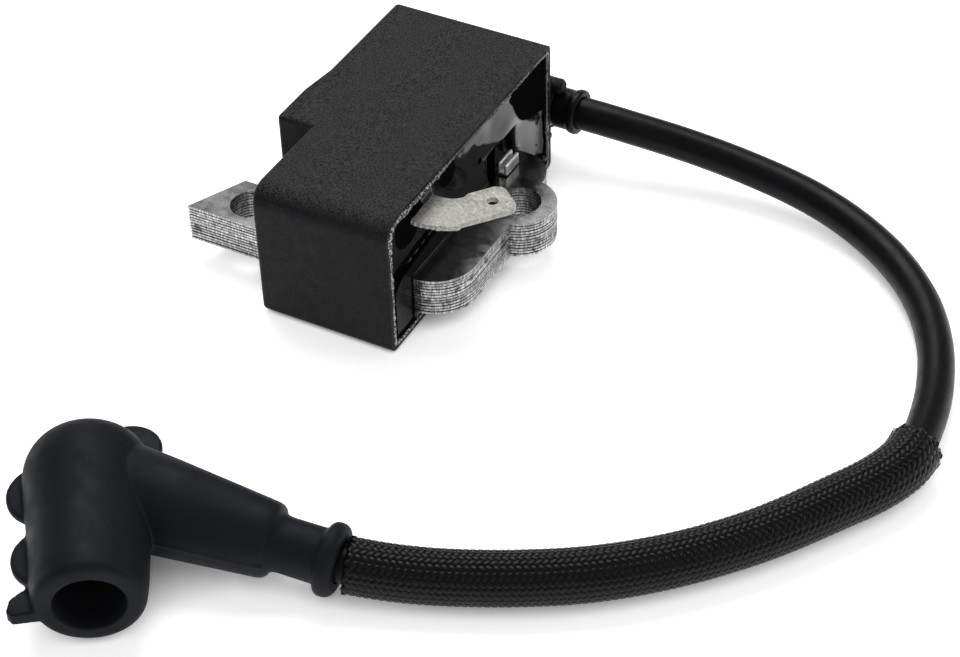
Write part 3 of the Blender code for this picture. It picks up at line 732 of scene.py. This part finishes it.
def fused(obj, voxel_mm, passes):
    """The joined solids as one skin with small fillets where they meet."""
    remesh = obj.modifiers.new("skin", "REMESH")
    remesh.mode, remesh.voxel_size = "VOXEL", voxel_mm * MM
    smooth = obj.modifiers.new("fillets", "SMOOTH")
    smooth.factor, smooth.iterations = 0.5, passes
    return baked(obj)


def fin(name, centre, flat_normal, radius, thickness):
    normal = Vector(flat_normal).normalized()
    profile = [(0, -thickness / 2), (radius - 0.35, -thickness / 2), (radius, -thickness / 2 + 0.3),
               (radius, thickness / 2 - 0.3), (radius - 0.35, thickness / 2), (0, thickness / 2)]
    return lathe(name, profile, centre, normal, 48)


def plate_on_body(name, outline, thickness, lift):
    """A flat plate beside the boot's axis, lifted off it: its outline is (to the left, along)."""
    bottom, top = [
        [on_body(along, left, lift + level) for left, along in outline]
        for level in (-thickness / 2, thickness / 2)
    ]
    return slab(name, bottom, top)


def make_boot(look):
    arm_length, body_length = (ARM_END - ELBOW).length, (MOUTH - ELBOW).length
    dome_radius, dome_length = 8.85, 7.5
    dome = [(0, -dome_length)] + [
        (dome_radius * math.sin(a) ** 0.8, -dome_length * math.cos(a) ** 0.85)
        for a in map(math.radians, range(4, 90, 5))
    ] + [(dome_radius, 0)]
    body = lathe("body", dome + [
        (8.7, 2.5), (8.3, 7), (7.66, body_length - 3.0), (7.5, body_length - 1.8),
        (7.4, body_length - 1.0), (7.15, body_length - 0.4), (6.7, body_length - 0.08),
        (6.1, body_length), (0, body_length)], ELBOW, ALONG, 96)
    shoulder = 27.0
    arm = lathe("arm", [
        (0, -1), (7.2, -1), (7.3, 2), (6.65, 11), (5.25, shoulder - 1.2), (5.1, shoulder - 0.5),
        (4.8, shoulder - 0.1), (4.3, shoulder + 0.15), (3.95, shoulder + 0.5),
        (3.82, shoulder + 1.4), (3.85, arm_length - 3.0), (4.1, arm_length - 2.7),
        (4.75, arm_length - 2.4), (5.08, arm_length - 1.9), (5.08, arm_length - 1.0),
        (4.85, arm_length - 0.45), (4.3, arm_length), (0, arm_length)],
        ELBOW, ARM_END - ELBOW, 96)
    arm_side = Vector((0, 0, 1)).cross(ARM_END - ELBOW).normalized()
    fins = [
        fin("fin_1", on_body(1.5, 5.8), BODY_UP, 5.2, 1.5),
        fin("fin_2", on_body(12.7, 5.2), BODY_UP, 5.0, 1.5),
        fin("fin_3", on_arm(2.6) + arm_side * 7.1 + Vector((0, 0, 0.4)), (0, 0, 1), 4.6, 1.5),
    ]
    tab = plate_on_body("tab", [
        (4.5, body_length - 5.8), (7.4, body_length - 4.9), (9.0, body_length - 4.0),
        (10.4, body_length - 2.8), (10.8, body_length - 1.0), (10.1, body_length - 0.15),
        (7.8, body_length - 0.2), (4.5, body_length - 0.3)], 2.0, -1.6)
    # The mould's parting line, with a nib where it meets the body.
    parting = rod(
        "parting", on_arm(7.5) - arm_side * 6.85, on_arm(shoulder) - arm_side * 4.95, 0.3, 12)
    nib = rod("nib", on_arm(7.2) - arm_side * 6.6, on_arm(8.6) - arm_side * 6.8, 0.75, 16)
    boot = fused(joined("rubber_boot", body, arm, *fins, tab, parting, nib), 0.22, 3)
    plug_way = lathe("plug_way", [
        (0, -3.0), (4.75, -3.0), (4.75, body_length - 0.3), (4.9, body_length - 0.05),
        (5.15, body_length + 0.15), (6.0, body_length + 2), (0, body_length + 2)], ELBOW, ALONG, 96)
    lead_way = rod("lead_way", on_arm(0.5), on_arm(arm_length + 2), LEAD_BORE_RADIUS, 64)
    boot = boolean(boot, "DIFFERENCE", plug_way, lead_way)
    shade(boot, 50)
    return put(dress(boot, look), "boot", "boot_rubber", "plug_boot")


def make_seal(look):
    inner = LEAD_RADIUS + 0.05
    seal = lathe("lead_grommet", [
        (inner, 3.6), (3.3, 3.6), (3.55, 3.5), (3.66, 3.2), (3.64, 2.6), (3.5, 2.3), (3.33, 2.15),
        (3.28, 1.6), (3.3, 0.3), (3.3, -0.3), (inner, -0.3)],
        (0, TOWER_Y, TOWER_Z), (1, 0, 0), 72, closed=True)
    shade(seal, 50)
    return put(dress(seal, look), "module", "boot_rubber", "lead_seal")


# ---------------------------------------------------------------- housing and resin


def rim_outline(inset, floor, steps=8):
    """The open face's outline in Y and Z, from the lower front corner anticlockwise."""
    high, top = LENGTH - inset, HEIGHT - inset
    small, large = max(CORNER_ROUNDING - inset, 0.4), FRONT_ROUNDING - inset
    return (
        corner(inset + small, floor + small, small, 180, 270, 4)
        + corner(high - small, floor + small, small, -90, 0, 4)
        + corner(high - small, top - small, small, 0, 90, 4)
        + corner(inset + large, top - large, large, 90, 180, steps)
    )


def block(name, inset, floor, open_x, rounding):
    """The housing's outer block, or with an inset its cavity."""
    shape = prism_along_x(name, rim_outline(inset, floor), BUMP_X + inset, open_x)
    for vert in shape.data.vertices:
        if vert.co.z > HEIGHT * MM / 2:
            vert.co.z += TOP_DRAFT * (vert.co.x - place(0, 0, 0).x)
        if vert.co.y > place(0, LENGTH / 2, 0).y:
            vert.co.y -= REAR_DRAFT * (vert.co.x - place(open_x, 0, 0).x)
    notch = box(f"{name}_notch", (-40, -5, -5), (-WIDTH + inset, BUMP_Y + inset, 30))
    step = prism(f"{name}_step", [(-40, 25.6), (BUMP_X + inset, 25.6), (REAR_X + inset, REAR_Y),
                                  (REAR_X + inset, 60), (-40, 60)], -5, 30)
    shape = boolean(shape, "DIFFERENCE", notch, step)
    if rounding:
        bevel_edges(shape, rounding, 4)
    return shape


def make_housing(look):
    housing = block("moulded_housing", inset=0, floor=0, open_x=4, rounding=0.75)
    housing = boolean(housing, "DIFFERENCE", box("rim_cut", (0, -5, -5), (12, 60, 30)))
    tower = lathe("tower", [
        (0, -18.6), (3.2, -18.6), (3.65, -18.1), (3.65, -1.0), (3.45, -0.65), (0, -0.6)],
        (0, TOWER_Y, TOWER_Z), (1, 0, 0), 64)
    web = bevel_edges(box("web", (-18.5, 50.9, 5.9), (-1.0, 54.2, 11.7)), 0.3, 2)
    lug = lathe("lug", [(0, -7.0), (1.0, -7.0), (1.3, -6.7), (1.3, 0.3), (1.0, 0.75), (0, 0.8)],
                (0, 55.2, 13.3), (1, 0, 0), 40)
    lug_web = bevel_edges(box("lug_web", (-6.9, 50.9, 11.4), (-1.3, 55.3, 14.0)), 0.4, 2)
    housing = boolean(housing, "UNION", tower, web, lug, lug_web)
    leg_low, leg_high = CORE_BOTTOM - SLOT_GAP, CORE_TOP + SLOT_GAP
    housing = boolean(
        housing, "DIFFERENCE", block("cavity", inset=WALL, floor=FLOOR, open_x=6, rounding=0),
        rod("lead_bore", (-17.2, TOWER_Y, TOWER_Z), (4, TOWER_Y, TOWER_Z), LEAD_BORE_RADIUS),
        box("front_slot", (-24.5, FRONT_LEG_Y - SLOT_GAP, leg_low),
            (-20.5, FRONT_LEG_Y + LEG_WIDTH + SLOT_GAP, leg_high)),
        box("rear_slot", (-30, REAR_LEG_Y - SLOT_GAP, leg_low),
            (-25, REAR_LEG_Y + LEG_WIDTH + SLOT_GAP, leg_high)),
    )
    shade(housing, 32)
    weighted = housing.modifiers.new("normals", "WEIGHTED_NORMAL")
    weighted.keep_sharp = True
    housing = baked(housing)
    return put(dress(housing, look), "module", "black_plastic", "housing")


def smoothstep(low, high, value):
    t = max(0.0, min(1.0, (value - low) / (high - low)))
    return t * t * (3 - 2 * t)


def outside_box(y, z, low_y, low_z, high_y, high_z):
    """The distance of a point outside a rectangle, and below zero inside it."""
    dy, dz = max(low_y - y, y - high_y), max(low_z - z, z - high_z)
    if dy < 0 and dz < 0:
        return max(dy, dz)
    return math.hypot(max(dy, 0), max(dz, 0))


def wall_distance(y, z, inset):
    """How far inside the cavity's rounded outline a point is."""
    high, top = LENGTH - inset, HEIGHT - inset
    radius = FRONT_ROUNDING - inset
    if y < inset + radius and z > top - radius:
        return radius - math.hypot(inset + radius - y, z - (top - radius))
    return min(y - inset, high - y, z - FLOOR, top - z)


def resin_height(y, z):
    """X of the resin's face: sunken and uneven, drawn up at the walls and at what leaves it."""
    x = -1.1 + 0.14 * wobble((y, z, 0), 12.0, 3.1) + 0.03 * wobble((y, z, 5), 3.2, 1.3)
    wall = max(0.0, wall_distance(y, z, WALL))
    x += (0.6 + 0.25 * wobble((y, z, 0), 1.6, 7.7)) * math.exp(-wall / 0.45)
    # The back third bulges.
    x += 0.55 * smoothstep(33, 41, y) * smoothstep(12.5, 16.5, z)
    # The bobbin's flange stands proud as a soft-edged panel.
    flange = outside_box(y, z, 2.3, 0, 20.6, 11.6 + 0.12 * (y - 10))
    x += 0.6 * (1 - smoothstep(-0.12, 0.12, flange))
    # The clip's pocket.
    pocket = outside_box(y, z, 32.6, 7.0, 41.6, 13.9)
    x -= 1.6 * (1 - smoothstep(-0.7, 0.25, pocket))
    # Drawn up along the core and under the terminal.
    core = abs(outside_box(y, z, FRONT_LEG_Y, CORE_BOTTOM, REAR_LEG_Y + LEG_WIDTH, CORE_TOP))
    x += 0.5 * math.exp(-core / 0.5)
    tab = abs(outside_box(y, z, 7.6, 18.6, 14.6, 19.4))
    x += (0.75 + 0.3 * wobble((y, z, 2), 1.2)) * math.exp(-tab / 0.5)
    return min(x, -0.03)


def make_resin(look, bead):
    step = 0.24
    inset = WALL + 0.02
    rows = int((HEIGHT - inset - FLOOR) / step)
    columns = int((LENGTH - 2 * inset) / step)
    points, faces = [], []
    radius = FRONT_ROUNDING - inset
    round_y, round_z = inset + radius, HEIGHT - inset - radius
    for i in range(rows + 1):
        for j in range(columns + 1):
            y = inset + (LENGTH - 2 * inset) * j / columns
            z = FLOOR + 0.02 + (HEIGHT - inset - FLOOR - 0.04) * i / rows
            away = math.hypot(round_y - y, z - round_z)
            if y < round_y and z > round_z and away > radius:
                y = round_y + (y - round_y) * radius / away
                z = round_z + (z - round_z) * radius / away
            points.append((resin_height(y, z), y, z))
    wide = columns + 1
    for i in range(rows):
        for j in range(columns):
            a = i * wide + j
            faces.append((a, a + 1, a + wide + 1, a + wide))
    # A flat back face makes the layer a closed slab.
    front = len(points)
    points += [(RESIN_BACK_X, y, z) for _, y, z in points]
    faces += [tuple(v + front for v in f[::-1]) for f in list(faces)]
    edge = (
        list(range(wide)) + [i * wide + columns for i in range(1, rows + 1)]
        + [rows * wide + j for j in range(columns - 1, -1, -1)]
        + [i * wide for i in range(rows - 1, 0, -1)]
    )
    faces += [(b, a, a + front, b + front) for a, b in zip(edge, edge[1:] + edge[:1])]
    resin = mesh_from("resin_face", points, faces)
    resin.data.shade_smooth()
    put(dress(resin, look), "module", "potting_resin", "potting_resin")
    make_bead(bead)


def make_bead(look):
    """Thin uneven flash of resin along the housing's rim."""
    outline = rim_outline(WALL * 0.72, FLOOR * 0.72, 12)
    closed = outline + outline[:1]
    path = []
    for (ay, az), (by, bz) in zip(closed, closed[1:]):
        steps = max(1, round(math.hypot(by - ay, bz - az) / 0.22))
        path += [(ay + (by - ay) * t / steps, az + (bz - az) * t / steps) for t in range(steps)]
    sides, count = 10, len(path)
    points, faces = [], []
    for i, (y, z) in enumerate(path):
        before, after = path[i - 1], path[(i + 1) % count]
        way = Vector((0, after[0] - before[0], after[1] - before[1])).normalized()
        inward = Vector((1, 0, 0)).cross(way)
        amount = 0.5 + 0.5 * wobble((y, z, 0), 2.1, 4.2)
        front_top = smoothstep(24, 12, y) * smoothstep(10, 20, z)
        size = 0.20 + 0.30 * amount + 0.16 * front_top + 0.12 * wobble((y, z, 3), 0.7)
        middle = Vector((-0.16 + 0.1 * wobble((y, z, 8), 3.0), y, z))
        for k in range(sides):
            a = 2 * math.pi * k / sides
            out = Vector((1, 0, 0)) * math.cos(a) * 0.75 + inward * math.sin(a)
            jitter = 1 + 0.35 * wobble((y, z, k * 1.3), 0.5, 2.2)
            points.append(middle + out * max(0.08, size * jitter))
    for i in range(count):
        for k in range(sides):
            j, m = (k + 1) % sides, (i + 1) % count
            faces.append((i * sides + k, i * sides + j, m * sides + j, m * sides + k))
    flash = mesh_from("rim_flash", points, faces)
    flash.data.shade_smooth()
    put(dress(recalc(flash), look), "module", "potting_resin")
    # Lumps of resin that ran down the back corner.
    lumps = []
    runs = (
        (51.9, 9.6, 0.55), (52.1, 8.3, 0.8), (51.9, 6.9, 0.6), (52.0, 5.6, 0.7),
        (51.8, 4.4, 0.45), (51.7, 10.8, 0.4), (50.2, 2.2, 0.6), (51.6, 3.2, 0.4),
    )
    for y, z, size in runs:
        profile = [(0, -size * 1.1), (size * 0.7, -size * 0.7), (size, 0),
                   (size * 0.7, size * 0.8), (0, size * 1.2)]
        lumps.append(lathe("lump", profile, (-0.5, y, z), (0.3, 0.2, 1), 16))
    lump = fused(joined("resin_lumps", *lumps), 0.12, 4)
    lump.data.shade_smooth()
    put(dress(lump, look), "module", "potting_resin")


# ---------------------------------------------------------------- core


def core_outline():
    """The outline of a lamination: two legs, a yoke with an ear, and a lobe behind the ear."""
    front_end, rear_end = FRONT_LEG_Y + LEG_WIDTH, REAR_LEG_Y + LEG_WIDTH
    low = math.degrees(math.asin((YOKE_OUTER_X - EAR[0]) / EAR_RADIUS)) - 90
    high = 90 - math.degrees(math.asin((LOBE_OUTER_X - EAR[0]) / EAR_RADIUS))
    yoke_corner = corner(0, FRONT_LEG_Y + YOKE_OUTER_X, YOKE_OUTER_X, -90, 0, 20)
    lobe = corner(LOBE_OUTER_X - LOBE_RADIUS, rear_end - LOBE_RADIUS, LOBE_RADIUS, 0, 90, 18)
    return (
        [(-39.8, FRONT_LEG_Y)] + yoke_corner + corner(*EAR, EAR_RADIUS, low, high, 48) + lobe
        + [(-36.4, rear_end), (-32.0, REAR_LEG_Y), (YOKE_INNER_X, REAR_LEG_Y)]
        + [(YOKE_INNER_X, front_end), (-35.2, front_end)]
    )


def make_core(face, edge):
    outlines = [
        core_outline(), circle(EAR, SCREW_HOLE_RADIUS), circle(LEFT_HOLE, SCREW_HOLE_RADIUS)]
    for index in range(LAMINATIONS):
        shift = RNG.uniform(-0.05, 0.03), RNG.uniform(-0.05, 0.05)
        middle = CORE_BOTTOM + index * PITCH + PLATE / 2
        sheet = plate(f"lamination_{index + 1:02d}", middle, PLATE, outlines, shift)
        bevel_edges(sheet, 0.07, 1, 60)
        dress(sheet, face, edge)
        for polygon in sheet.data.polygons:
            polygon.material_index = 0 if abs(polygon.normal.z) > 0.9 else 1
        shade(sheet, 30)
        put(sheet, "module", "electrical_steel", f"core_lamination_{index + 1:02d}")


# ---------------------------------------------------------------- terminal and clip


def terminal_outline():
    """A root that the resin holds, and a blade turned about its hole, with two cut corners."""
    along = Vector((math.cos(TERMINAL_ANGLE), math.sin(TERMINAL_ANGLE)))
    across = Vector((-along.y, along.x))
    hole, half, tip, chamfer = Vector(TERMINAL_HOLE), TERMINAL_WIDTH / 2, 2.9, 1.2

    def blade(forward, sideways):
        return tuple(hole + along * forward + across * sideways)

    # Resin has run along the root's front edge, so it is uneven.
    rough = []
    for i in range(25):
        t = i / 24
        x, y = -1.0 + 5.8 * t, 7.65 + 1.05 * t**2.6
        rough.append((x, y + 0.30 * wobble((x, y, 0), 0.42, 3.3)))
    return (
        [(-7.4, 7.7)] + rough
        + [blade(-7.0, -half - 0.35), blade(-6.5, -half - 0.3), blade(-6.2, -half)]
        + [blade(tip - chamfer, -half), blade(tip - 0.35, -half + 0.55), blade(tip, -half + chamfer)]
        + [blade(tip, half - chamfer), blade(tip - 0.35, half - 0.55), blade(tip - chamfer, half)]
        + [blade(-2.6, half), (3.9, 16.0), (3.2, 15.35), (2.5, 14.9), (1.7, 14.7), (1.0, 14.6),
           (-7.4, 14.6)]
    )


def make_terminal(look):
    outlines = (terminal_outline(), circle(TERMINAL_HOLE, 0.88, 28))
    blade = plate("stop_blade", TERMINAL_Z, TERMINAL_THICKNESS, outlines)
    bevel_edges(blade, 0.14, 2, 50)
    shade(blade, 35)
    put(dress(blade, look), "module", "tin_plate", "stop_terminal")


def make_clip(look):
    """Two rolled bars of a folded strip, with a tongue that runs into the resin."""
    low = CORE_TOP + 0.25
    parts = []
    for x, rise in ((-0.4, 2.2), (0.68, 2.0)):
        bar = box("bar", (x - 0.3, CLIP_FRONT_Y, low), (x + 0.3, CLIP_BACK_Y, low + rise))
        parts.append(bevel_edges(bar, 0.28, 4))
    fold = box("fold", (-0.7, CLIP_FRONT_Y + 0.05, low), (1.0, CLIP_BACK_Y - 0.05, low + 0.5))
    parts.append(bevel_edges(fold, 0.15, 2))
    parts.append(box("tongue", (-5.9, 35.6, low + 0.05), (-2.7, 37.8, low + 0.45)))
    clip = joined("earth_clip", *parts)
    shade(clip, 40)
    put(dress(clip, look), "module", "tin_plate", "ground_clip")


# ---------------------------------------------------------------- inside and stage


def dress_inside():
    bobbin = plain_look("bobbin_nylon", (0.006, 0.006, 0.0065), 0.2, shine=0.07)
    copper = winding_look("enamelled_wire", (0.50, 0.19, 0.07))
    fine = winding_look("fine_wire", (0.55, 0.24, 0.10))
    chip = plain_look("chip_epoxy", (0.02, 0.02, 0.021), 0.5)
    film = plain_look("film_dip", (0.42, 0.12, 0.03), 0.3)
    bright = clip_look()
    looks = {
        "coil_bobbin": bobbin, "secondary_bobbin": bobbin, "charge_coil_bobbin": bobbin,
        "primary_winding": copper, "charge_coil_winding": copper, "secondary_winding": fine,
        "circuit_board": plain_look("board_glass", (0.03, 0.13, 0.05), 0.4),
        "film_capacitor": film, "resistor": film, "switching_thyristor": chip,
        "control_chip": chip, "rectifier_diode_1": chip, "rectifier_diode_2": chip,
        "ht_contact_pin": bright, "boot_contact_spring": bright,
    }
    for name, look in looks.items():
        dress(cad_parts[name], look)


def make_stage():
    x, y = BASE_MIDDLE
    half, level = 3000, -0.4
    corners = ((-half, -half), (half, -half), (half, half), (-half, half))
    floor = mesh_from("floor", [(x + a, y + b, level) for a, b in corners], [(0, 1, 2, 3)])
    look = Look("pale_floor", (0.93, 0.93, 0.93), 0.75, Specular_IOR_Level=0.1,
                Emission_Color=(1, 1, 1, 1), Emission_Strength=0.5)
    look.rough(look.noise(0.02, 2), 0.7, 0.8)
    # The floor glows, and ambient occlusion dims the glow close beside the object: a painted contact
    # shadow.
    contact_shadow = look.nodes.new("ShaderNodeAmbientOcclusion")
    contact_shadow.inputs["Distance"].default_value = 0.012
    look.set("Emission Strength", look.ramp(contact_shadow.outputs["AO"], (0.08, 0.0), (0.48, 0.62)))
    dress(floor, look.material)

    def lamp(name, location, target, width, height, power):
        data = bpy.data.lights.new(name, "AREA")
        data.shape, data.size, data.size_y = "RECTANGLE", width, height
        data.energy = power
        light = new_object(name, data)
        light.location = location
        way = Vector(target) - Vector(location)
        light.rotation_euler = way.to_track_quat("-Z", "Y").to_euler()

    lamp("key", (-0.25, 0.35, 0.75), (0, 0, 0), 0.55, 0.55, 5.2)
    lamp("front_fill", (0.5, -0.8, 0.6), (0.02, -0.02, 0), 0.6, 0.6, 0.75)
    lamp("right_strip", (0.75, 0.35, 0.35), (0, 0.0, 0.01), 0.25, 0.6, 1.0)
    world = bpy.data.worlds.new("studio")
    bpy.context.scene.world = world
    world.use_nodes = True
    background = world.node_tree.nodes["Background"]
    background.inputs["Color"].default_value = (1, 1, 1, 1)
    background.inputs["Strength"].default_value = 0.36
    bpy.context.scene.view_settings.view_transform = "Standard"


def main():
    make_camera()
    jacket = jacket_look()
    lead = make_lead(jacket)
    sleeve = make_sleeve(braid_look())
    boot = make_boot(rubber_look())
    points = lead_points(1.0)
    make_seal(jacket)
    make_housing(plastic_look())
    make_resin(resin_look(), bead_look())
    make_core(steel_look(), steel_edge_look())
    make_terminal(tin_look())
    make_clip(clip_look())
    dress_inside()
    make_stage()


main()
